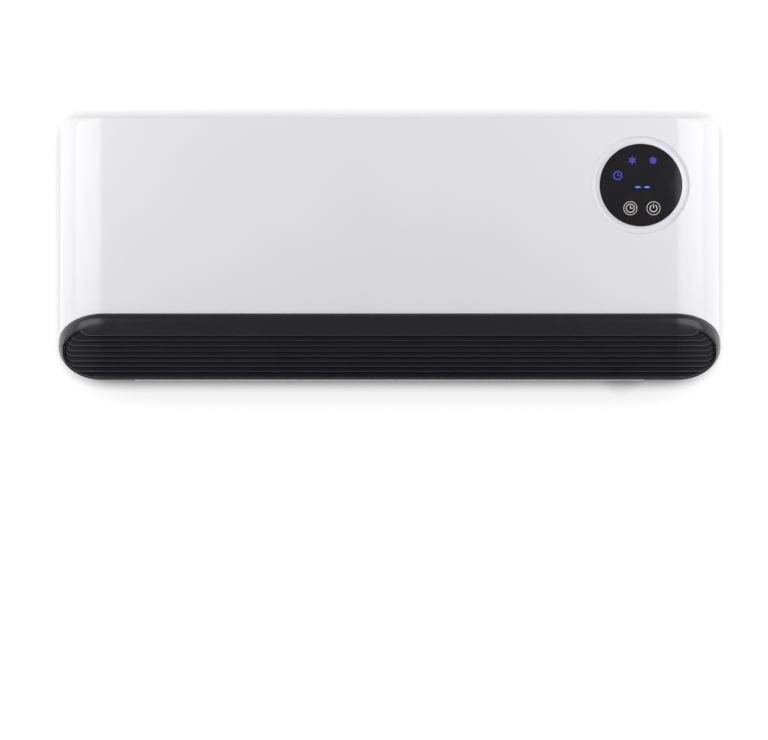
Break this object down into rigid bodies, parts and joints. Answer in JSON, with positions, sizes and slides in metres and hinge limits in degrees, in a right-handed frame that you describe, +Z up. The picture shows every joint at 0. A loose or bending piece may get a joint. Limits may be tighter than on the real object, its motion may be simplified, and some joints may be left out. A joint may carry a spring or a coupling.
{
  "type": "bathroom wall fan heater",
  "caption": "Wall-hung electric fan heater: rounded white casing, black slatted outlet along its foot, round touch display, cross-flow fan and ceramic element inside.",
  "frame": {"origin": "on the wall face of the rear housing, midway between the two keyholes the heater hangs by", "axes": "+X to the right as seen from the front, +Y into the wall, +Z up"},
  "size_m": [0.55, 0.1145, 0.2184],
  "materials": {
    "gloss_white": "glossy injection-moulded white",
    "satin_white": "satin white",
    "satin_black": "satin black",
    "filter_grey": "fine nylon net in a ribbed frame",
    "rubber": "matte black rubber",
    "bright_steel": "bright plated steel",
    "gloss_black": "glossy black",
    "board_green": "green circuit board",
    "matte_black": "matte black",
    "ivory_plastic": "ivory plastic",
    "galvanised": "galvanised sheet",
    "bronze": "sintered bronze",
    "lamination": "stacked electrical steel sheets",
    "coil_tape": "winding wrapped in yellow tape",
    "aluminium": "bare pleated foil",
    "ceramic_white": "unglazed ceramic in a flat tube",
    "grey_plastic": "heat-resistant grey plastic",
    "relay_blue": "blue relay case"
  },
  "bodies": {
    "casing": {"front_housing": "gloss_white", "rear_housing": "satin_white", "outlet_grille": "satin_black", "cord_gland": "rubber", "housing_screw_1": "bright_steel", "housing_screw_2": "bright_steel", "housing_screw_3": "bright_steel", "housing_screw_4": "bright_steel", "display_bezel": "gloss_white", "display_lens": "gloss_black", "display_board": "board_green", "digit_module": "matte_black", "icon_light_guide": "ivory_plastic", "touch_spring_timer": "bright_steel", "touch_spring_power": "bright_steel", "infrared_receiver": "matte_black", "end_plate_left": "galvanised", "end_plate_right": "galvanised", "scroll": "galvanised", "stabiliser": "galvanised", "fan_bearing": "bronze", "bearing_mount": "rubber", "motor_stack": "lamination", "motor_coil": "coil_tape", "motor_bracket_inner": "galvanised", "motor_bracket_outer": "galvanised", "heater_fins_1": "aluminium", "heater_fins_2": "aluminium", "heater_fins_3": "aluminium", "heater_tube_1": "ceramic_white", "heater_tube_2": "ceramic_white", "heater_rail_upper": "aluminium", "heater_rail_lower": "aluminium", "heater_holder_left": "grey_plastic", "heater_holder_right": "grey_plastic", "heater_terminal_1": "bright_steel", "heater_terminal_2": "bright_steel", "heater_terminal_3": "bright_steel", "thermal_cutout": "ivory_plastic", "thermal_fuse": "ivory_plastic", "air_sensor": "matte_black", "power_board": "board_green", "relay_1": "relay_blue", "relay_2": "relay_blue", "capacitor": "matte_black", "transformer": "coil_tape", "terminal_block": "ivory_plastic", "main_switch_body": "matte_black"},
    "fan_rotor": {"impeller": "matte_black", "impeller_hub": "rubber", "stub_shaft": "bright_steel", "motor_shaft": "bright_steel", "motor_rotor": "lamination"},
    "switch_rocker": {"main_switch_rocker": "gloss_black"},
    "inlet_cover": {"inlet_grille": "satin_white", "inlet_filter": "filter_grey"}
  },
  "joints": [
    {"name": "fan_spin", "type": "hinge", "parent": "casing", "child": "fan_rotor", "pos_m": [0, -0.058, -0.046], "axis": [1, 0, 0], "continuous": true},
    {"name": "switch_rock", "type": "hinge", "parent": "casing", "child": "switch_rocker", "pos_m": [0.2695, -0.05, -0.05], "axis": [0, -1, 0], "range_deg": [0, 18]},
    {"name": "inlet_lift", "type": "slide", "parent": "casing", "child": "inlet_cover", "axis": [0, 0, 1], "range_m": [0, 0.06]}
  ]
}
